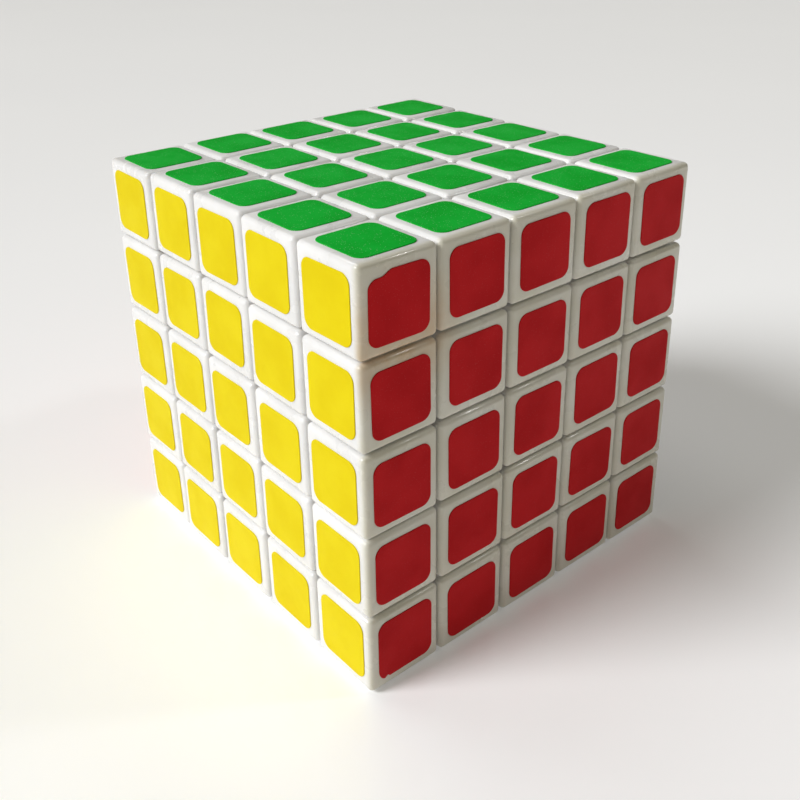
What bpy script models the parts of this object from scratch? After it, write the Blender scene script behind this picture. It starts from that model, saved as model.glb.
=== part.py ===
"""A five-layer twisty puzzle cube, with its hidden core, screws, springs and turntables.

Run it with: blender --background --python part.py

The cube is divided by flat cuts at +-INNER_CUT and +-OUTER_CUT along each axis. An outer layer also owns a
shallow disc of radius TRACK_R just below its outer cut, so its pieces carry feet there that slide under
the skins of the neighbouring faces. Every piece is the overlap of three such layers, one for each axis, so
a layer turns without touching the rest. Lengths are in metres, +Z is up and the origin is under the middle
of the cube, on the surface that it stands on.
"""

import math
from itertools import product

import bmesh
import bpy
from mathutils import Matrix, Vector

MM = 0.001

# Driving dimensions
HALF = 34.85 * MM  # half the plastic body; a sticker on each side brings the cube to 70 mm
PITCH = 14.0 * MM  # one of five layers
GAP = 0.4 * MM  # play between neighbouring pieces
EDGE = 0.55 * MM  # chamfer along a piece's edges
TRACK_R = 32.5 * MM  # radius of the disc in which an outer layer's feet run
SHELF = 17.0 * MM  # where that disc begins, measured from the cube's centre
WALL = 1.65 * MM  # skin of a moulded piece
POCKET = 6.8 * MM  # width of the hollow moulded into each cubie

# Worked out from them
PLAY = GAP / 2
INNER_CUT = PITCH / 2
OUTER_CUT = 1.5 * PITCH
CENTRE = Vector((0, 0, HALF))
FOOT_REACH = 27.0 * MM  # how far a foot runs up behind the visible block
CLEAR = 0.2 * MM  # keeps faces that a Boolean joins from lying in one plane
GROOVE_DEPTH = 1.4 * MM
ROUND_STEPS = 64  # around the discs that the feet run in
PLAIN_STEPS = 24  # around wells and arms
SCREW_STEPS = 16
TURNTABLE_STEPS = 48
SMOOTH_ANGLE = math.radians(30)  # faces that meet at less than this are shaded as one round
ON_AXIS = 1e-9  # a radius below this is a point on the axis
PHASE = 0.13  # part of a facet by which each axis's rounds differ, so their edges don't meet

# Screw, spring and core
CORE_HUB = 6.0 * MM  # half the core's middle block
ARM_R = 4.2 * MM
ARM_TOP = 11.6 * MM  # where the vertical arms stop, under the turntables
SIDE_ARM_TOP = 16.6 * MM
SIDE_DISC_R = 6.6 * MM  # within the middle layer, clear of the slices that turn past it
SIDE_DISC_DEPTH = 2.0 * MM
HUB_EDGE = 2.0 * MM
THREAD_R = 1.3 * MM
THREAD_HOLE_R = 1.6 * MM
THREAD_BOTTOM = 5.0 * MM
BORE_R = 1.8 * MM  # screw hole in a face's centre and in a turntable
HEAD_R = 3.2 * MM
HEAD_BOTTOM = 25.6 * MM
HEAD_TOP = 27.8 * MM
HEAD_SHOULDER = 0.7 * MM
HEAD_FLAT = 0.8  # share of the head's radius that is flat on top
TIP_LENGTH = 1.0 * MM
TIP = 0.6  # share of the thread's radius left at the screw's tip
SOCKET_R = 1.3 * MM
SOCKET_DEPTH = 1.2 * MM
WELL_R = 4.4 * MM  # hollow that holds the spring and the screw's head
WELL_BOTTOM = SHELF + PLAY + WALL
WELL_TOP = HALF - WALL
SPRING_R = 2.4 * MM
SPRING_WIRE_R = 0.35 * MM
SPRING_TURNS = 5
SPRING_STEPS = 12
FAR = 0.1  # further than any piece reaches
TURNTABLE_R = 16.2 * MM
TURNTABLE_BOTTOM = 12.0 * MM
TURNTABLE_TOP = 16.6 * MM
TURNTABLE_RIM = 2.2 * MM

LEVELS = {2: "top", 1: "upper", 0: "middle", -1: "lower", -2: "bottom"}
SIDES_X = {1: "right", -1: "left"}
SIDES_Y = {-1: "front", 1: "back"}
AXES = {
    "top": (2, 1),
    "bottom": (2, -1),
    "right": (0, 1),
    "left": (0, -1),
    "back": (1, 1),
    "front": (1, -1),
}


def clear_scene():
    for obj in list(bpy.data.objects):
        bpy.data.objects.remove(obj)


def make_material(name, colour, roughness, metallic=0.0):
    material = bpy.data.materials.new(name)
    material.use_nodes = True
    shader = material.node_tree.nodes["Principled BSDF"]
    shader.inputs["Base Color"].default_value = (*colour, 1.0)
    shader.inputs["Roughness"].default_value = roughness
    shader.inputs["Metallic"].default_value = metallic
    return material


def add_object(name, bm, material=None):
    mesh = bpy.data.meshes.new(name)
    bmesh.ops.recalc_face_normals(bm, faces=bm.faces)
    bm.to_mesh(mesh)
    bm.free()
    obj = bpy.data.objects.new(name, mesh)
    bpy.context.scene.collection.objects.link(obj)
    obj.location = CENTRE
    if material:
        mesh.materials.append(material)
    return obj


def as_helper(obj):
    """A cutter, or a shape that another one takes in: never a piece by itself."""
    obj.hide_render = True
    obj.display_type = "WIRE"
    return obj


def boxes(name, corners, material=None):
    """One mesh with a box between each pair of corners."""
    bm = bmesh.new()
    for low, high in corners:
        size = Vector(high) - Vector(low)
        middle = (Vector(high) + Vector(low)) / 2
        matrix = Matrix.Translation(middle) @ Matrix.Diagonal((*size, 1.0))
        bmesh.ops.create_cube(bm, size=1.0, matrix=matrix)
    return add_object(name, bm, material)


def axis_frame(axis, sign):
    """Turns a shape modelled along +Z onto this axis of the cube."""
    direction = Vector((0, 0, 0))
    direction[axis] = sign
    return direction.to_track_quat("Z", "Y").to_matrix().to_4x4()


def turned_mesh(bm, profile, axis, sign, steps=ROUND_STEPS):
    """Spins a closed outline of (radius, height) points about an axis of the cube."""
    frame = axis_frame(axis, sign)
    rings = []
    for radius, height in profile:
        if radius < ON_AXIS:
            rings.append([bm.verts.new(frame @ Vector((0, 0, height)))] * steps)
            continue
        ring = []
        for step in range(steps):
            angle = 2 * math.pi * (step + 0.5 + PHASE * axis) / steps
            point = Vector((radius * math.cos(angle), radius * math.sin(angle), height))
            ring.append(bm.verts.new(frame @ point))
        rings.append(ring)
    for lower, upper in zip(rings, rings[1:] + rings[:1]):
        for step in range(steps):
            after = (step + 1) % steps
            quad = [lower[step], lower[after], upper[after], upper[step]]
            corners = list(dict.fromkeys(quad))
            if len(corners) > 2:
                bm.faces.new(corners)


def turned(name, profile, axis, sign, material=None, steps=ROUND_STEPS):
    bm = bmesh.new()
    turned_mesh(bm, profile, axis, sign, steps)
    obj = add_object(name, bm, material)
    obj.data.shade_smooth()
    obj.data.set_sharp_from_angle(angle=SMOOTH_ANGLE)
    return obj


def boolean(obj, operation, other):
    modifier = obj.modifiers.new(operation.lower(), "BOOLEAN")
    modifier.operation = operation
    modifier.solver = "EXACT"
    modifier.object = other


def chamfer(obj, width=EDGE):
    modifier = obj.modifiers.new("chamfer", "BEVEL")
    modifier.width = width
    modifier.segments = 1
    modifier.limit_method = "ANGLE"


def track_cutters():
    """For each axis, the outer layers' discs, and what lies outside them between the outer cuts."""
    discs, rims = [], []
    for axis in range(3):
        bm = bmesh.new()
        for sign in (1, -1):
            radius = TRACK_R + PLAY
            low, high = SHELF - PLAY, OUTER_CUT + GAP
            profile = [(0, low), (radius, low), (radius, high), (0, high)]
            turned_mesh(bm, profile, axis, sign)
        discs.append(as_helper(add_object(f"disc_cutter_{axis}", bm)))
        bm = bmesh.new()
        radius = TRACK_R - PLAY
        reach = OUTER_CUT + PLAY + CLEAR / 2
        profile = [(radius, -reach), (FAR, -reach), (FAR, reach), (radius, reach)]
        turned_mesh(bm, profile, axis, 1)
        rims.append(as_helper(add_object(f"rim_cutter_{axis}", bm)))
    return discs, rims


def cell(index):
    """The span that layer -2 to 2 shows along an axis."""
    if abs(index) == 2:
        low, high = OUTER_CUT + PLAY, HALF
    elif abs(index) == 1:
        low, high = INNER_CUT + PLAY, OUTER_CUT - PLAY
    else:
        return -INNER_CUT + PLAY, INNER_CUT - PLAY
    return (low, high) if index > 0 else (-high, -low)


def foot_span(index):
    """The span of the hidden foot behind a layer's visible blocks."""
    if abs(index) == 2:
        low, high = SHELF + PLAY, FOOT_REACH
    elif abs(index) == 1:
        low, high = INNER_CUT + PLAY + CLEAR, SHELF - PLAY - CLEAR
    else:
        return -INNER_CUT + PLAY + CLEAR, INNER_CUT - PLAY - CLEAR
    return (low, high) if index > 0 else (-high, -low)


def pocket_span(index):
    """The span of a cubie's hollow across the layer, no wider than POCKET."""
    if index == 0:
        return -POCKET / 2, POCKET / 2
    if abs(index) == 2:
        high = HALF - WALL
        low = high - POCKET
    else:
        high = SHELF - PLAY - WALL
        low = INNER_CUT + PLAY + WALL
    return (low, high) if index > 0 else (-high, -low)


def pocket_depth(level):
    """The hollow opens towards the cube's middle layer, and right through in that layer."""
    if level == 0:
        return -PITCH, PITCH
    if abs(level) == 2:
        low, high = SHELF - POCKET, HALF - WALL
    else:
        low, high = 0.0, SHELF - PLAY - WALL
    return (low, high) if level > 0 else (-high, -low)


def merged(indices, span):
    spans = [span(i) for i in indices]
    return min(s[0] for s in spans), max(s[1] for s in spans)


def groove_boxes(columns, rows, level):
    """Thin slots that mark where the cubies of a joined row or block meet."""
    found = []
    for axis, indices in ((0, columns), (1, rows)):
        if len(indices) == 1:
            continue
        for side in (-1, 1):
            for face_axis, index in ((0, columns), (1, rows), (2, [level])):
                if face_axis == axis or len(index) > 1 or abs(index[0]) != 2:
                    continue
                sign = index[0] // 2
                low, high = [-FAR] * 3, [FAR] * 3
                low[axis] = side * INNER_CUT - PLAY
                high[axis] = side * INNER_CUT + PLAY
                low[face_axis] = HALF - GROOVE_DEPTH if sign > 0 else -FAR
                high[face_axis] = FAR if sign > 0 else -HALF + GROOVE_DEPTH
                found.append((low, high))
    return found


def cubies(name, columns, rows, level, tools, material):
    """One piece: the cubies at these columns (X) and rows (Y) of one level, with their foot and hollows."""
    discs, rims = tools
    layers = (columns, rows, [level])
    block = [merged(indices, cell) for indices in layers]
    obj = boxes(name, [tuple(zip(*block))], material)
    chamfer(obj)
    foot = [foot_span(i[0]) if len(i) == 1 else (-SHELF + PLAY + CLEAR, SHELF - PLAY - CLEAR) for i in layers]
    foot = as_helper(boxes(name + "_foot", [tuple(zip(*foot))]))
    for axis, indices in enumerate(layers):
        if len(indices) == 1 and abs(indices[0]) == 2:
            boolean(foot, "DIFFERENCE", rims[axis])
    boolean(obj, "UNION", foot)
    for axis, indices in enumerate(layers):
        if len(indices) > 1 or abs(indices[0]) == 1:
            boolean(obj, "DIFFERENCE", discs[axis])
    hollows = []
    for column, row in product(columns, rows):
        if [abs(column), abs(row), abs(level)].count(0) == 2:
            continue  # a face's centre holds the screw instead
        spans = (pocket_span(column), pocket_span(row), pocket_depth(level))
        hollows.append(tuple(zip(*spans)))
    boolean(obj, "DIFFERENCE", as_helper(boxes(name + "_hollows", hollows)))
    for number, slot in enumerate(groove_boxes(columns, rows, level)):
        boolean(obj, "DIFFERENCE", as_helper(boxes(f"{name}_groove_{number}", [slot])))
    return obj


def add_screw_well(obj, axis, sign):
    """The hollow for the spring and the screw's head, with the screw's hole under it."""
    profile = [
        (0, SHELF - CLEAR),
        (BORE_R, SHELF - CLEAR),
        (BORE_R, WELL_BOTTOM),
        (WELL_R, WELL_BOTTOM),
        (WELL_R, WELL_TOP),
        (0, WELL_TOP),
    ]
    well = as_helper(turned(obj.name + "_well", profile, axis, sign, steps=PLAIN_STEPS))
    boolean(obj, "DIFFERENCE", well)


def build_cubies(plastic):
    tools = track_cutters()
    inner = [-1, 0, 1]
    for level, level_name in LEVELS.items():
        for x, side_x in SIDES_X.items():
            for y, side_y in SIDES_Y.items():
                kind = {2: "corner", 1: "wing", 0: "edge"}[abs(level)]
                name = f"{kind}_{level_name}_{side_y}_{side_x}"
                cubies(name, [2 * x], [2 * y], level, tools, plastic)
        kind = "edge_row" if abs(level) == 2 else "centre_row"
        for x, side in SIDES_X.items():
            row = cubies(f"{kind}_{level_name}_{side}", [2 * x], inner, level, tools, plastic)
            if level == 0:
                add_screw_well(row, 0, x)
        for y, side in SIDES_Y.items():
            row = cubies(f"{kind}_{level_name}_{side}", inner, [2 * y], level, tools, plastic)
            if level == 0:
                add_screw_well(row, 1, y)
    for level in (2, -2):
        block = cubies(f"centre_block_{LEVELS[level]}", inner, inner, level, tools, plastic)
        add_screw_well(block, 2, level // 2)


def build_core(plastic):
    """The six-armed core. Its side arms end in small discs behind the side faces' centres."""
    hub = [(-CORE_HUB,) * 3, (CORE_HUB,) * 3]
    core = boxes("core_spider", [hub], plastic)
    chamfer(core, HUB_EDGE)
    for side, (axis, sign) in AXES.items():
        if axis == 2:
            arm = [(0, 0), (ARM_R, 0), (ARM_R, ARM_TOP), (0, ARM_TOP)]
        else:
            disc_bottom = SIDE_ARM_TOP - SIDE_DISC_DEPTH
            arm = [(0, 0), (ARM_R, 0), (ARM_R, disc_bottom), (SIDE_DISC_R, disc_bottom)]
            arm += [(SIDE_DISC_R, SIDE_ARM_TOP), (0, SIDE_ARM_TOP)]
        boolean(core, "UNION", as_helper(turned(f"arm_{side}", arm, axis, sign, steps=PLAIN_STEPS)))
    for side, (axis, sign) in AXES.items():
        hole_bottom = THREAD_BOTTOM - GAP
        hole = [(0, hole_bottom), (THREAD_HOLE_R, hole_bottom), (THREAD_HOLE_R, FAR), (0, FAR)]
        boolean(core, "DIFFERENCE", as_helper(turned(f"hole_{side}", hole, axis, sign, steps=SCREW_STEPS)))


def build_screw(side, axis, sign, steel):
    """Pan head with a round driver socket."""
    profile = [
        (0, THREAD_BOTTOM),
        (THREAD_R * TIP, THREAD_BOTTOM),
        (THREAD_R, THREAD_BOTTOM + TIP_LENGTH),
        (THREAD_R, HEAD_BOTTOM),
        (HEAD_R, HEAD_BOTTOM),
        (HEAD_R, HEAD_TOP - HEAD_SHOULDER),
        (HEAD_R * HEAD_FLAT, HEAD_TOP),
        (SOCKET_R, HEAD_TOP),
        (SOCKET_R, HEAD_TOP - SOCKET_DEPTH),
        (0, HEAD_TOP - SOCKET_DEPTH),
    ]
    turned(f"screw_{side}", profile, axis, sign, steel, steps=SCREW_STEPS)


def build_spring(side, axis, sign, steel):
    """A helix of round wire between the well's floor and the screw's head."""
    frame = axis_frame(axis, sign)
    low = WELL_BOTTOM + GAP + SPRING_WIRE_R
    high = HEAD_BOTTOM - GAP - SPRING_WIRE_R
    count = SPRING_TURNS * SPRING_STEPS
    curve = bpy.data.curves.new(f"spring_{side}", "CURVE")
    curve.dimensions = "3D"
    curve.bevel_depth = SPRING_WIRE_R
    curve.bevel_resolution = 1
    curve.use_fill_caps = True
    spline = curve.splines.new("POLY")
    spline.points.add(count)
    for number, point in enumerate(spline.points):
        angle = 2 * math.pi * number / SPRING_STEPS
        height = low + (high - low) * number / count
        place = Vector((SPRING_R * math.cos(angle), SPRING_R * math.sin(angle), height))
        point.co = (*(frame @ place), 1.0)
    curve.materials.append(steel)
    obj = bpy.data.objects.new(f"spring_{side}", curve)
    bpy.context.scene.collection.objects.link(obj)
    obj.location = CENTRE


def build_turntable(side, sign, plastic):
    """The hidden half of a top or bottom centre, which turns with the slice behind the face."""
    profile = [
        (BORE_R, TURNTABLE_BOTTOM),
        (ARM_R + WALL, TURNTABLE_BOTTOM),
        (ARM_R + WALL, TURNTABLE_TOP - TURNTABLE_RIM),
        (TURNTABLE_R, TURNTABLE_TOP - TURNTABLE_RIM),
        (TURNTABLE_R, TURNTABLE_TOP),
        (BORE_R, TURNTABLE_TOP),
    ]
    turned(f"turntable_{side}", profile, 2, sign, plastic, steps=TURNTABLE_STEPS)


def main():
    clear_scene()
    white = make_material("white_plastic", (0.88, 0.88, 0.86), 0.32)
    grey = make_material("grey_plastic", (0.45, 0.46, 0.48), 0.45)
    steel = make_material("zinc_steel", (0.62, 0.62, 0.64), 0.3, 1.0)
    build_cubies(white)
    build_core(grey)
    for side, (axis, sign) in AXES.items():
        build_screw(side, axis, sign, steel)
        build_spring(side, axis, sign, steel)
    build_turntable("upper", 1, grey)
    build_turntable("lower", -1, grey)


main()
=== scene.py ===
"""Looks for a five-layer twisty puzzle cube: rounded white cubies, vinyl stickers, and the parts inside."""

import math
import random
from itertools import permutations, product

import bmesh
import bpy
from mathutils import Matrix, Quaternion, Vector


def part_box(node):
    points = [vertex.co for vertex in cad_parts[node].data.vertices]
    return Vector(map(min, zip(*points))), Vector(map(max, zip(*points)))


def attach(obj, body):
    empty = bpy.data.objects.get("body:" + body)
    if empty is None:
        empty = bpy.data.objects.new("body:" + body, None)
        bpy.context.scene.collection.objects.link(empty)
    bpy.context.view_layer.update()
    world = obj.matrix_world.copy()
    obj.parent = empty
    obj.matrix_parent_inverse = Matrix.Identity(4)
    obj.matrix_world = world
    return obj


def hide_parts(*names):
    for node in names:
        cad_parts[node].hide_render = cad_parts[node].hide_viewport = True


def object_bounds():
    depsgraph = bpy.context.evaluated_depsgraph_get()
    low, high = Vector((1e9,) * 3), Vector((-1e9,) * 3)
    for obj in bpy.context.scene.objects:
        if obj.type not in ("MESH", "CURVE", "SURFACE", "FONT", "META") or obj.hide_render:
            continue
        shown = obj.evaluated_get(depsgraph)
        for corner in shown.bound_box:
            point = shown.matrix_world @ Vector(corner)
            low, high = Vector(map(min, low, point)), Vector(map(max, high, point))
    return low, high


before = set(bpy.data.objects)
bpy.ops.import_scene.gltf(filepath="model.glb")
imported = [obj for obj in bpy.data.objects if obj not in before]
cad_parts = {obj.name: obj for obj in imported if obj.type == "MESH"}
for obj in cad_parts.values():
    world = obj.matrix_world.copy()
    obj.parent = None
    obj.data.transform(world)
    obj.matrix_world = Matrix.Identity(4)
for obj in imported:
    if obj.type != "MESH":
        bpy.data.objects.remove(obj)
CAD_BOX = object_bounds()
MM = 0.001

# The cube's layout, read from the frame
CENTRE = (CAD_BOX[0] + CAD_BOX[1]) / 2
HALF = (CAD_BOX[1].x - CAD_BOX[0].x) / 2
WING_LOW, WING_HIGH = (corner.z - CENTRE.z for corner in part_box("wing_upper_back_right"))
PITCH = (WING_LOW + WING_HIGH) / 2
GAP = PITCH - (WING_HIGH - WING_LOW)
PLAY = GAP / 2
INNER_CUT = PITCH / 2
OUTER_CUT = 1.5 * PITCH
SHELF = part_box("centre_block_top")[0].z - CENTRE.z - PLAY  # where the feet's tracks begin

# The inside, as the CAD model has it
TRACK_R = 32.5 * MM
FOOT_REACH = 27.0 * MM
WALL = 1.65 * MM
POCKET = 6.8 * MM
CLEAR = 0.2 * MM  # keeps faces that a Boolean joins from lying in one plane
BORE_R = 1.8 * MM
WELL_R = 4.4 * MM

# A cubie's rounding
EDGE_R = 0.85 * MM
EDGE_STEPS = 5
FOOT_EDGE_R = 0.5 * MM
FOOT_EDGE_STEPS = 2
SMOOTH_ANGLE = 35  # degrees: sharper edges than this stay crisp

# Cutters
FAR = 0.1  # further out than anything on the cube
ROUND_STEPS = 96
PHASE = 0.13  # of a step: keeps the facets about one axis from lining up with those about another

# Stickers
STICKER = 10.5 * MM
STICKER_R = 1.65 * MM
STICKER_T = 0.14 * MM
STICKER_LIFT = 0.005 * MM
STICKER_EDGE = 0.05 * MM
STICKER_SMOOTH_ANGLE = 30  # degrees
ARC_STEPS = 8
SIDE_STEPS = 6
WORN_SIDE_STEPS = 60

# The two worn stickers, measured from a sticker's middle
TEAR_START = -1.1 * MM
TEAR_RUN = 2.1 * MM
TEAR_DEPTH = 0.8 * MM
NICK_PLACE = -3.7 * MM
NICK_HALF_WIDTH = 0.42 * MM
NICK_DEPTH = 0.5 * MM
SAG_RUN = 0.5 * MM
SAG_DEPTH = 0.16 * MM
NICK_FADE = 0.8 * STICKER_R  # the nick and the sag grow to full over this height

# How exactly the layers, cubies and stickers sit
LAYER_TILT = {-2: 0.25, -1: -0.15, 0: -0.15, 1: 0.06, 2: 0.1}  # degrees about X
CUBIE_SHIFT = 0.04 * MM
STICKER_SHIFT = 0.14 * MM
STICKER_TURN = 0.9  # degrees

COLUMNS = {-2: "left", -1: "midleft", 0: "mid", 1: "midright", 2: "right"}
ROWS = {-2: "front", -1: "midfront", 0: "mid", 1: "midback", 2: "back"}
LEVELS = {2: "top", 1: "upper", 0: "middle", -1: "lower", -2: "bottom"}
PROTOTYPES = [(2, 2, 2), (2, 2, 1), (2, 2, 0), (2, 1, 1), (2, 1, 0), (2, 0, 0)]
FACES = {
    # colour: (axis, sign, the face's right, its up)
    "green": (2, 1, (1, 0, 0), (0, 1, 0)),
    "yellow": (1, -1, (1, 0, 0), (0, 0, 1)),
    "red": (0, 1, (0, 1, 0), (0, 0, 1)),
    "blue": (2, -1, (1, 0, 0), (0, -1, 0)),
    "orange": (0, -1, (0, -1, 0), (0, 0, 1)),
    "black": (1, 1, (-1, 0, 0), (0, 0, 1)),
}

SEED = 5
rng = random.Random(SEED)


# ---------------------------------------------------------------- node helpers


class Nodes:
    """A short way to write the nodes of a material or of the world."""

    def __init__(self, owner, shader="Principled BSDF"):
        owner.use_nodes = True
        self.owner = owner
        self.tree = owner.node_tree
        self.shader = self.tree.nodes[shader]

    def add(self, kind, inputs=(), **settings):
        node = self.tree.nodes.new(kind)
        for key, value in settings.items():
            setattr(node, key, value)
        for key, value in dict(inputs).items():
            self.put(value, node.inputs[key])
        return node

    def put(self, value, socket):
        if isinstance(value, bpy.types.NodeSocket):
            self.tree.links.new(value, socket)
        else:
            socket.default_value = value

    def maths(self, operation, first, second=0.0, clamp=False):
        node = self.add("ShaderNodeMath", {0: first, 1: second}, operation=operation, use_clamp=clamp)
        return node.outputs[0]

    def ramp(self, value, low, high, to_low=0.0, to_high=1.0):
        """Carries low..high over to to_low..to_high, with soft ends."""
        inputs = {"Value": value, "From Min": low, "From Max": high, "To Min": to_low, "To Max": to_high}
        node = self.add("ShaderNodeMapRange", inputs, interpolation_type="SMOOTHSTEP")
        return node.outputs["Result"]

    def noise(self, scale, detail, roughness=0.5, vector=None):
        inputs = {"Scale": scale, "Detail": detail, "Roughness": roughness}
        inputs["Vector"] = vector or self.place()
        return self.add("ShaderNodeTexNoise", inputs).outputs["Fac"]

    def place(self):
        return self.add("ShaderNodeTexCoord").outputs["Object"]

    def axes(self, vector):
        return self.add("ShaderNodeSeparateXYZ", {"Vector": vector}).outputs

    def mix(self, factor, first, second):
        """Blends two colours. The node's sockets share their names, so numbers pick them out."""
        node = self.add("ShaderNodeMix", data_type="RGBA")
        colour_sockets = {0: factor, 6: first, 7: second}
        for key, value in colour_sockets.items():
            self.put(value, node.inputs[key])
        return node.outputs[2]

    def bump(self, height, distance, strength, after=None):
        inputs = {"Height": height, "Distance": distance, "Strength": strength}
        if after:
            inputs["Normal"] = after
        return self.add("ShaderNodeBump", inputs).outputs["Normal"]

    def finish(self, **sockets):
        for key, value in sockets.items():
            self.put(value, self.shader.inputs[key.replace("_", " ")])
        return self.owner


def linear(channel):
    """One channel of a display colour, from 0 to 255, as linear light."""
    share = channel / 255
    return ((share + 0.055) / 1.055) ** 2.4 if share > 0.04045 else share / 12.92


def rgb(red, green, blue):
    """A display colour as the linear colour that a shader takes."""
    return (linear(red), linear(green), linear(blue), 1.0)


# ---------------------------------------------------------------- materials

NEW_WHITES = (rgb(228, 227, 226), rgb(236, 235, 234))
# Painted shade: a darker, warmer white laid over the red side's plastic, standing in for the weak light on
# that side
RED_SIDE_SHADE_WHITE = rgb(205, 201, 182)
# Partly dirt, partly painted shade: the colour the plastic takes down in the gaps between cubies
GROOVE_GRIME_AND_SHADE = rgb(180, 170, 150)
TAN = rgb(194, 152, 98)
SPECK_BROWN = rgb(92, 78, 62)
INNER_GREYS = (rgb(168, 170, 174), rgb(186, 187, 190))
ZINC_GREYS = (rgb(196, 198, 202), rgb(222, 222, 218))
VINYL = {
    # colour: (its lighter shade, its darker shade, how strong its painted glint spots are)
    "green": (rgb(0, 176, 50), rgb(0, 160, 38), 1.0),
    "yellow": (rgb(226, 206, 0), rgb(219, 196, 0), 0.0),
    "red": (rgb(194, 20, 26), rgb(178, 14, 20), 0.12),
    "blue": (rgb(10, 80, 205), rgb(6, 66, 184), 0.2),
    "orange": (rgb(246, 118, 10), rgb(236, 104, 6), 0.0),
    "black": (rgb(30, 30, 32), rgb(20, 20, 22), 0.1),
}

# A tan stain on the red side, low on the top front corner and on the cubie below it
STAIN_PLACE = CENTRE + Vector((HALF, -2 * PITCH, OUTER_CUT + 1.5 * MM))
STAIN_R = 4.0 * MM
STAIN_FADE = 9.0 * MM


def groove_depth(n):
    """How far inside the cube's faces a point lies: 0 on a face, more down the rounded edges."""
    place = n.axes(n.place())
    x = n.maths("ABSOLUTE", place["X"])
    y = n.maths("ABSOLUTE", place["Y"])
    z = n.maths("ABSOLUTE", n.maths("SUBTRACT", place["Z"], CENTRE.z))
    outermost = n.maths("MAXIMUM", n.maths("MAXIMUM", x, y), z)
    return n.maths("SUBTRACT", HALF, outermost)


def near(n, point, radius, fade):
    """1 within a distance of a point, fading to 0."""
    distance = n.add("ShaderNodeVectorMath", {0: n.place(), 1: point}, operation="DISTANCE").outputs["Value"]
    return n.ramp(distance, radius, radius + fade, 1.0, 0.0)


def on_red_side(n):
    """1 on the red side's plastic, fading round its edges."""
    return n.ramp(n.axes(n.place())["X"], HALF - 1.6 * MM, HALF - 0.1 * MM)


def cubie_plastic():
    """Glossy white moulded plastic that passes a little light, with dirt and painted shade down in the
    grooves, and painted shade on the red side.
    """
    n = Nodes(bpy.data.materials.new("white_cubie_plastic"))
    depth = groove_depth(n)
    cloud = n.noise(scale=90.0, detail=4.0)
    patch = n.noise(scale=420.0, detail=5.0, roughness=0.6)
    colour = n.mix(n.ramp(cloud, 0.35, 0.7), *NEW_WHITES)

    # Painted shade: the red side's plastic turns darker and warmer, in patches, standing in for the weak
    # light there
    red_side_shade = n.maths("MULTIPLY", on_red_side(n), n.ramp(cloud, 0.3, 0.75, 0.95, 0.7))
    colour = n.mix(red_side_shade, colour, RED_SIDE_SHADE_WHITE)

    # Dirt and painted shade: patches of a darker warm grey down in the gaps between cubies
    down = n.ramp(depth, 0.35 * MM, 2.4 * MM)
    grime_and_shade = n.maths("MULTIPLY", down, n.ramp(patch, 0.35, 0.75, 0.05, 0.45), clamp=True)
    colour = n.mix(grime_and_shade, colour, GROOVE_GRIME_AND_SHADE)

    stain = near(n, STAIN_PLACE, STAIN_R, STAIN_FADE)
    stain = n.maths("MULTIPLY", stain, n.ramp(depth, 0.0, 1.2 * MM, 0.6, 1.0))
    stain = n.maths("MULTIPLY", stain, on_red_side(n))
    stain = n.maths("MULTIPLY", stain, n.ramp(patch, 0.3, 0.7, 0.65, 1.0))
    colour = n.mix(stain, colour, TAN)

    speck = n.ramp(n.noise(scale=1500.0, detail=2.0), 0.74, 0.78)
    speck = n.maths("MULTIPLY", speck, n.ramp(depth, 0.1 * MM, 0.9 * MM, 0.0, 0.6))
    colour = n.mix(speck, colour, SPECK_BROWN)

    polish = n.ramp(n.noise(scale=130.0, detail=2.0), 0.44, 0.6)
    dull = n.maths("MULTIPLY", n.maths("SUBTRACT", 1.0, polish), 0.14)
    gloss = n.maths("ADD", n.ramp(patch, 0.3, 0.75, 0.2, 0.3), n.maths("MULTIPLY", grime_and_shade, 0.3))
    gloss = n.maths("ADD", gloss, dull)
    ripple = n.bump(n.noise(scale=260.0, detail=2.0), distance=0.02 * MM, strength=0.22)
    skin = n.bump(n.noise(scale=5200.0, detail=2.0), distance=0.003 * MM, strength=0.35, after=ripple)
    return n.finish(
        Base_Color=colour,
        Roughness=gloss,
        Normal=skin,
        Subsurface_Weight=0.25,
        Subsurface_Radius=(1.0, 0.92, 0.82),
        Subsurface_Scale=2.2 * MM,
        IOR=1.49,
        Coat_Weight=n.maths("MULTIPLY", polish, 0.45),
        Coat_Roughness=0.08,
    )


def vinyl(name, light, dark, painted_glint_strength):
    """Printed vinyl: an even colour with fine grain, faint wear, painted glint spots of a lighter colour and
    a soft sheen.
    """
    n = Nodes(bpy.data.materials.new(f"vinyl_{name}"))
    grain = n.noise(scale=3800.0, detail=3.0, roughness=0.7)
    cloud = n.noise(scale=150.0, detail=4.0)
    colour = n.mix(n.ramp(cloud, 0.3, 0.75), light, dark)
    colour = n.mix(n.ramp(grain, 0.3, 0.75, 0.0, 0.22), colour, dark)

    # Painted highlight: small spots of a lighter colour stand in for glints of light on the vinyl's grain
    cells = n.add("ShaderNodeTexVoronoi", {"Scale": 2600.0, "Vector": n.place()})
    glint = n.ramp(cells.outputs["Distance"], 0.07, 0.21, painted_glint_strength, 0.0)
    painted_glint_colour = (*(0.65 * channel + 0.3 for channel in light[:3]), 1.0)
    colour = n.mix(glint, colour, painted_glint_colour)

    gloss = n.maths("ADD", n.ramp(cloud, 0.3, 0.7, 0.38, 0.5), n.maths("MULTIPLY", grain, 0.08))
    leather = n.bump(grain, distance=0.012 * MM, strength=0.5)
    waves = n.bump(n.noise(scale=330.0, detail=2.0), distance=0.03 * MM, strength=0.35, after=leather)
    return n.finish(Base_Color=colour, Roughness=gloss, Normal=waves, IOR=1.46, Specular_IOR_Level=0.07)


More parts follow.
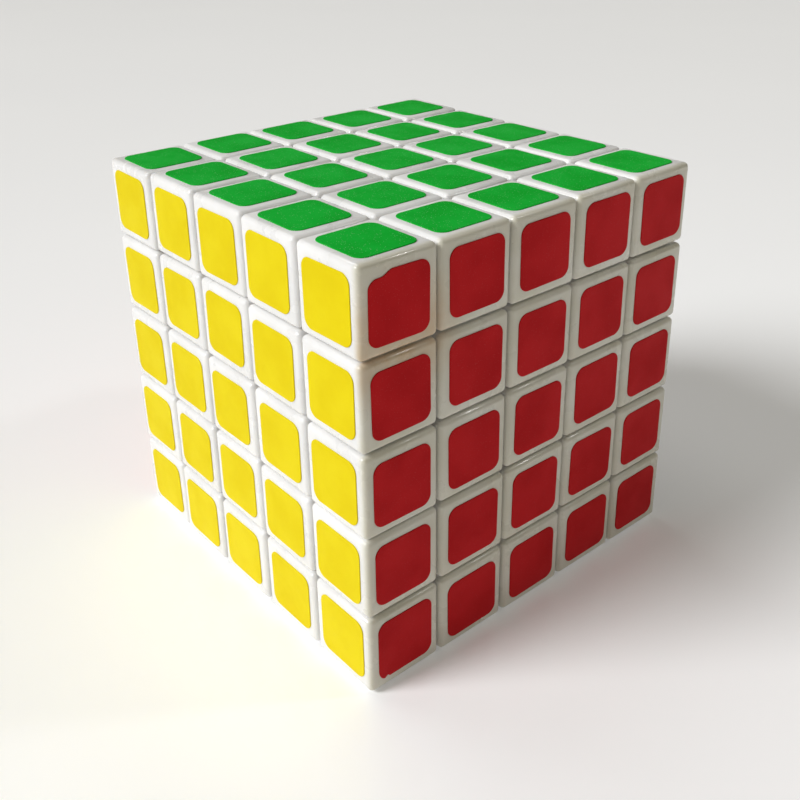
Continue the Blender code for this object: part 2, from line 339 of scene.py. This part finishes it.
def inner_plastic():
    n = Nodes(bpy.data.materials.new("grey_inner_plastic"))
    cloud = n.noise(scale=200.0, detail=4.0)
    colour = n.mix(n.ramp(cloud, 0.3, 0.7), *INNER_GREYS)
    gloss = n.ramp(n.noise(scale=900.0, detail=3.0), 0.3, 0.7, 0.38, 0.55)
    skin = n.bump(n.noise(scale=3000.0, detail=2.0), distance=0.01 * MM, strength=0.5)
    return n.finish(Base_Color=colour, Roughness=gloss, Normal=skin)


def zinc_steel():
    n = Nodes(bpy.data.materials.new("zinc_plated_steel"))
    stretched = n.add("ShaderNodeMapping", {"Vector": n.place(), "Scale": (1.0, 1.0, 8.0)}).outputs[0]
    streak = n.noise(scale=900.0, detail=4.0, roughness=0.6, vector=stretched)
    colour = n.mix(n.ramp(streak, 0.3, 0.7), *ZINC_GREYS)
    gloss = n.ramp(streak, 0.3, 0.7, 0.22, 0.4)
    skin = n.bump(streak, distance=0.006 * MM, strength=0.5)
    return n.finish(Base_Color=colour, Roughness=gloss, Normal=skin, Metallic=1.0)


# ---------------------------------------------------------------- shapes


def link(name, data):
    obj = bpy.data.objects.new(name, data)
    bpy.context.scene.collection.objects.link(obj)
    return obj


def remove(objects):
    for obj in objects:
        bpy.data.objects.remove(obj)


def finished_mesh(name, bm):
    mesh = bpy.data.meshes.new(name)
    bm.to_mesh(mesh)
    bm.free()
    return mesh


def join_rings(bm, rings):
    """Faces between each closed ring of points and the next."""
    for lower, upper in zip(rings, rings[1:]):
        for step in range(len(lower)):
            after = (step + 1) % len(lower)
            bm.faces.new((lower[step], lower[after], upper[after], upper[step]))


def rounded_box(name, low, high, radius=0.0, steps=1):
    bm = bmesh.new()
    size = Vector(high) - Vector(low)
    middle = (Vector(high) + Vector(low)) / 2
    bmesh.ops.create_cube(bm, size=1.0, matrix=Matrix.Translation(middle) @ Matrix.Diagonal((*size, 1.0)))
    if radius:
        bmesh.ops.bevel(
            bm,
            geom=bm.edges[:],
            affect="EDGES",
            offset=radius,
            segments=steps,
            profile=0.5,
            clamp_overlap=True,
        )
    return link(name, finished_mesh(name, bm))


def turned(name, profiles, axis, signs=(1,)):
    """Spins outlines of (radius, height) points about an axis through the origin, and caps their ends."""
    bm = bmesh.new()
    for profile, sign in product(profiles, signs):
        direction = Vector((0, 0, 0))
        direction[axis] = sign
        turn = direction.to_track_quat("Z", "Y").to_matrix()
        rings = []
        for radius, height in profile:
            ring = []
            for step in range(ROUND_STEPS):
                angle = 2 * math.pi * (step + 0.5 + PHASE * axis) / ROUND_STEPS
                point = Vector((radius * math.cos(angle), radius * math.sin(angle), height))
                ring.append(bm.verts.new(turn @ point))
            rings.append(ring)
        join_rings(bm, rings)
        bm.faces.new(rings[0])
        bm.faces.new(rings[-1])
    bmesh.ops.recalc_face_normals(bm, faces=bm.faces)
    return link(name, finished_mesh(name, bm))


def cut(obj, other, operation="DIFFERENCE"):
    modifier = obj.modifiers.new(operation.lower(), "BOOLEAN")
    modifier.operation = operation
    modifier.solver = "EXACT"
    modifier.object = other


def bake_modifiers(obj):
    """The mesh as its modifiers leave it."""
    depsgraph = bpy.context.evaluated_depsgraph_get()
    return bpy.data.meshes.new_from_object(obj.evaluated_get(depsgraph))


def cell_span(index):
    """From where to where a cubie reaches along one axis."""
    if index == 2:
        return OUTER_CUT + PLAY, HALF
    if index == 1:
        return INNER_CUT + PLAY, OUTER_CUT - PLAY
    return -INNER_CUT + PLAY, INNER_CUT - PLAY


def foot_span(index):
    """The same for its foot."""
    if index == 2:
        return SHELF + PLAY, FOOT_REACH
    if index == 1:
        return INNER_CUT + PLAY + CLEAR, SHELF - PLAY - CLEAR
    return -INNER_CUT + PLAY + CLEAR, INNER_CUT - PLAY - CLEAR


def pocket_span(index):
    """The same for the hollow inside."""
    if index == 2:
        return HALF - WALL - POCKET, HALF - WALL
    if index == 1:
        return INNER_CUT + PLAY + WALL, SHELF - PLAY - WALL
    return -POCKET / 2, POCKET / 2


def pocket_depth(level):
    """From where to where the hollow reaches in height. It opens towards the middle layer."""
    if level == 2:
        return SHELF - POCKET, HALF - WALL
    if level == 1:
        return 0.0, SHELF - PLAY - WALL
    return -PITCH, PITCH


def box_of(spans):
    """Three (low, high) spans as a low and a high corner."""
    return tuple(zip(*spans))


def wide_ring(name, radius, reach, axis):
    """A ring about an axis: everything further out than radius, between -reach and reach."""
    outer = turned(name + "_outer", [[(FAR, -reach), (FAR, reach)]], axis)
    inner = turned(name + "_inner", [[(radius, -reach - MM), (radius, reach + MM)]], axis)
    cut(outer, inner)
    ring = link(name, bake_modifiers(outer))
    remove([outer, inner])
    return ring


def track_cutters():
    """For each axis, the discs that the outer layers' feet run in, and what lies round those discs."""
    track = [(TRACK_R + PLAY, SHELF - PLAY), (TRACK_R + PLAY, OUTER_CUT + GAP)]
    discs, rims = [], []
    for axis in range(3):
        discs.append(turned(f"disc_{axis}", [track], axis, (1, -1)))
        rims.append(wide_ring(f"rim_{axis}", TRACK_R - PLAY, OUTER_CUT + PLAY + CLEAR / 2, axis))
    return discs, rims


def prototype(index, discs, rims):
    """One of the six kinds of cubie, at its place in the positive corner of a cube about the origin."""
    cubie = rounded_box("cubie", *box_of([cell_span(i) for i in index]), EDGE_R, EDGE_STEPS)
    foot = rounded_box("foot", *box_of([foot_span(i) for i in index]), FOOT_EDGE_R, FOOT_EDGE_STEPS)
    for axis, i in enumerate(index):
        if i == 2:
            cut(foot, rims[axis])
    cut(cubie, foot, "UNION")
    for axis, i in enumerate(index):
        if i == 1:
            cut(cubie, discs[axis])
    if index == (2, 0, 0):
        screw_hole = [(BORE_R, SHELF - CLEAR), (BORE_R, SHELF + PLAY + WALL + CLEAR)]
        well = [(WELL_R, SHELF + PLAY + WALL), (WELL_R, HALF - WALL)]
        cutters = [turned("screw_hole", [screw_hole], 0), turned("well", [well], 0)]
    else:
        x, y, z = index
        cutters = [rounded_box("hollow", *box_of([pocket_span(x), pocket_span(y), pocket_depth(z)]))]
    for cutter in cutters:
        cut(cubie, cutter)
    mesh = bake_modifiers(cubie)
    remove([cubie, foot, *cutters])
    return mesh


def rotations():
    """The 24 turns that carry a cube onto itself."""
    found = []
    for order in permutations(range(3)):
        for signs in product((1, -1), repeat=3):
            turn = Matrix([[signs[row] * (order[row] == column) for column in range(3)] for row in range(3)])
            if turn.determinant() > 0:
                found.append(turn)
    return found


def place_of(index, turns):
    """The prototype for this cell, and the turn that brings it there."""
    kind = tuple(sorted((abs(i) for i in index), reverse=True))
    for turn in turns:
        if tuple(round(v) for v in turn @ Vector(kind)) == index:
            return kind, turn
    raise ValueError(index)


def settle(index):
    """How a cubie sits: the cube's place, its layer's tilt about X, and a little play of its own."""
    tilt = Matrix.Rotation(math.radians(LAYER_TILT[index[0]]), 4, "X")
    shift = Vector([rng.uniform(-CUBIE_SHIFT, CUBIE_SHIFT) for _ in range(3)])
    return Matrix.Translation(CENTRE + shift) @ tilt


def body_for(index):
    """The name of the CAD body that a cubie belongs to."""
    x, y, z = index
    side_x = "right" if x > 0 else "left"
    side_y = "back" if y > 0 else "front"
    if abs(x) == 2 and abs(y) == 2:
        kind = {2: "corner", 1: "wing", 0: "edge"}[abs(z)]
        return f"{kind}_{LEVELS[z]}_{side_y}_{side_x}"
    kind = "edge_row" if abs(z) == 2 else "centre_row"
    if abs(x) == 2:
        return f"{kind}_{LEVELS[z]}_{side_x}"
    if abs(y) == 2:
        return f"{kind}_{LEVELS[z]}_{side_y}"
    return f"centre_block_{LEVELS[z]}"


def cell_name(index):
    return f"{COLUMNS[index[0]]}_{ROWS[index[1]]}_{LEVELS[index[2]]}"


def shade(mesh, degrees):
    mesh.shade_smooth()
    mesh.set_sharp_from_angle(angle=math.radians(degrees))


# ---------------------------------------------------------------- stickers


def sticker_outline(along_steps):
    """A rounded square, anticlockwise, with points along its sides too."""
    reach = STICKER / 2 - STICKER_R
    points = []
    for corner, (u, v) in enumerate(((1, 1), (-1, 1), (-1, -1), (1, -1))):
        for step in range(ARC_STEPS + 1):
            angle = math.radians(90 * corner + 90 * step / ARC_STEPS)
            x = u * reach + STICKER_R * math.cos(angle)
            y = v * reach + STICKER_R * math.sin(angle)
            points.append(Vector((x, y)))
        heading = math.radians(180 + 90 * corner)
        along = Vector((math.cos(heading), math.sin(heading))) * (2 * reach / along_steps)
        for _ in range(along_steps - 1):
            points.append(points[-1] + along)
    return points


def smooth(value):
    """0 up to 0, 1 from 1 on, and a soft rise between them."""
    value = min(max(value, 0.0), 1.0)
    return value * value * (3 - 2 * value)


def torn_top(point):
    """The upper edge has worn back over most of its left half."""
    back = smooth((TEAR_START - point.x) / TEAR_RUN) * TEAR_DEPTH
    height = max(point.y, 0.0) / (STICKER / 2)
    return Vector((point.x, point.y - back * height))


def torn_bottom(point):
    """The lower edge has a small nick near its left corner, and the corner left of it hangs a little low."""
    edge = smooth((-STICKER / 2 + STICKER_R - point.y) / NICK_FADE)
    nick = max(0.0, 1 - abs(point.x - NICK_PLACE) / NICK_HALF_WIDTH) * NICK_DEPTH
    sag = smooth((NICK_PLACE - point.x) / SAG_RUN) * SAG_DEPTH
    return Vector((point.x, point.y + (nick - sag) * edge))


WORN = {("red", (2, -2, 2)): torn_top, ("red", (2, -2, -2)): torn_bottom}


def sticker(colour, index, seat, material):
    """A thin raised piece with a narrow bevel round its top, a little off its cubie's middle."""
    axis, _, right, up = FACES[colour]
    right, up = Vector(right), Vector(up)
    outward = right.cross(up)
    middle = Vector(index) * PITCH
    middle[axis] = 0
    turn = math.radians(rng.uniform(-STICKER_TURN, STICKER_TURN))
    shift = Vector([rng.uniform(-STICKER_SHIFT, STICKER_SHIFT) for _ in range(2)])
    wear = WORN.get((colour, index))
    outline = sticker_outline(WORN_SIDE_STEPS if wear else SIDE_STEPS)
    if wear:
        outline = [wear(point) for point in outline]
    bm = bmesh.new()
    rings = []
    for height, inset in ((0.0, 0.0), (STICKER_T - STICKER_EDGE, 0.0), (STICKER_T, STICKER_EDGE)):
        ring = []
        for point in outline:
            flat = point * (1 - inset / point.length)
            flat = Matrix.Rotation(turn, 2) @ flat + shift
            place = middle + right * flat.x + up * flat.y + outward * (HALF + STICKER_LIFT + height)
            ring.append(bm.verts.new(seat @ place))
        rings.append(ring)
    join_rings(bm, rings)
    bm.faces.new(rings[0][::-1])
    bm.faces.new(rings[-1])
    mesh = finished_mesh("sticker", bm)
    shade(mesh, STICKER_SMOOTH_ANGLE)
    mesh.materials.append(material)
    return link(f"sticker_{colour}_{cell_name(index)}", mesh)


# ---------------------------------------------------------------- the cube


def build_cube():
    """The 98 cubies and their 150 stickers, each on its CAD body."""
    plastic = cubie_plastic()
    vinyls = {name: vinyl(name, *looks) for name, looks in VINYL.items()}
    discs, rims = track_cutters()
    moulds = {index: prototype(index, discs, rims) for index in PROTOTYPES}
    remove(discs + rims)
    turns = rotations()
    for index in product(range(-2, 3), repeat=3):
        if max(abs(i) for i in index) < 2:
            continue
        kind, turn = place_of(index, turns)
        seat = settle(index)
        mesh = moulds[kind].copy()
        mesh.transform(seat @ turn.to_4x4())
        shade(mesh, SMOOTH_ANGLE)
        mesh.materials.clear()
        mesh.materials.append(plastic)
        cubie = link("cubie_" + cell_name(index), mesh)
        body = body_for(index)
        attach(cubie, body)
        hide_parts(body)
        for colour, (axis, sign, _, _) in FACES.items():
            if index[axis] != 2 * sign:
                continue
            label = sticker(colour, index, seat, vinyls[colour])
            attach(label, body)
    for mesh in moulds.values():
        bpy.data.meshes.remove(mesh)


def dress_inner_parts():
    """The core, turntables, screws and springs keep their CAD shapes."""
    steel = zinc_steel()
    grey = inner_plastic()
    looks = {"screw": steel, "spring": steel, "core": grey, "turntable": grey}
    for name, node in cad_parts.items():
        material = looks.get(name.split("_")[0])
        if material:
            node.data.materials.clear()
            node.data.materials.append(material)


# ---------------------------------------------------------------- stage

# The camera's place and the point that it looks at, from the cube's centre
CAMERA_PLACE = Vector((125.44, -103.44, 79.48)) * MM
CAMERA_AIM = Vector((-1.75, 3.01, 7.53)) * MM
CAMERA_ROLL = math.radians(-0.80)
LENS = 44.44
SENSOR_WIDTH = 36.0
SHIFT = (-0.003, -0.125)
CLIP_START = 10 * MM

WHITE = (1.0, 1.0, 1.0)
COOL_WHITE = (0.98, 0.99, 1.0)
LIGHTS = [
    # name, kind, place from the cube's centre, power, size (a sun's is an angle), colour
    ("key", "SUN", (-0.3, -0.79, 0.62), 2.9, math.radians(26), COOL_WHITE),
    ("top", "AREA", (-0.5, -0.1, 0.9), 1.9, (0.5, 0.5), WHITE),
    ("glint", "AREA", (0.44, 0.57, 0.69), 0.9, (0.08, 0.08), WHITE),
]

FLOOR_REACH = 6.0
FLOOR_DROP = 0.3 * MM  # room under the bottom stickers for the layers' tilt
FLOOR_WHITES = (rgb(244, 244, 245), rgb(248, 248, 248))
FLOOR_GLOW = 0.12

BACKDROP = (0.7, 0.69, 0.66, 1.0)
OVERHEAD = (0.1, 0.088, 0.06, 1.0)
BACKDROP_TOP, OVERHEAD_START = 0.03, 0.25  # heights on a sphere of radius 1


def add_camera():
    camera = bpy.data.cameras.new("camera")
    camera.lens = LENS
    camera.sensor_width = SENSOR_WIDTH
    camera.shift_x, camera.shift_y = SHIFT
    camera.clip_start = CLIP_START
    obj = link("camera", camera)
    obj.location = CENTRE + CAMERA_PLACE
    look = (CAMERA_AIM - CAMERA_PLACE).to_track_quat("-Z", "Y")
    obj.rotation_mode = "QUATERNION"
    obj.rotation_quaternion = look @ Quaternion((0, 0, 1), CAMERA_ROLL)
    bpy.context.scene.camera = obj


def add_light(name, kind, place, power, size, colour):
    """An area light or a sun, aimed at the cube."""
    light = bpy.data.lights.new(name, kind)
    light.energy = power
    light.color = colour
    if kind == "SUN":
        light.angle = size
    else:
        light.shape = "RECTANGLE"
        light.size, light.size_y = size
    obj = link(name, light)
    obj.location = CENTRE + Vector(place)
    obj.rotation_mode = "QUATERNION"
    obj.rotation_quaternion = (-Vector(place)).to_track_quat("-Z", "Y")


def add_floor():
    bm = bmesh.new()
    bmesh.ops.create_grid(bm, x_segments=1, y_segments=1, size=FLOOR_REACH)
    floor = link("floor", finished_mesh("floor", bm))
    floor.location.z = CAD_BOX[0].z - STICKER_T - 2 * STICKER_LIFT - FLOOR_DROP
    n = Nodes(bpy.data.materials.new("pale_floor"))
    colour = n.mix(n.noise(scale=6.0, detail=2.0), *FLOOR_WHITES)
    glow = {"Emission_Color": (*WHITE, 1.0), "Emission_Strength": FLOOR_GLOW}
    floor.data.materials.append(n.finish(Base_Color=colour, Roughness=0.22, IOR=1.4, **glow))


def add_world():
    """A pale backdrop low down, dim and warm overhead."""
    world = bpy.data.worlds.new("world")
    bpy.context.scene.world = world
    n = Nodes(world, "Background")
    direction = n.add("ShaderNodeTexCoord").outputs["Generated"]
    rise = n.ramp(n.axes(direction)["Z"], BACKDROP_TOP, OVERHEAD_START)
    n.finish(Color=n.mix(rise, BACKDROP, OVERHEAD), Strength=1.0)


bpy.context.scene.view_settings.view_transform = "Standard"
build_cube()
dress_inner_parts()
add_floor()
add_world()
add_camera()
for settings in LIGHTS:
    add_light(*settings)
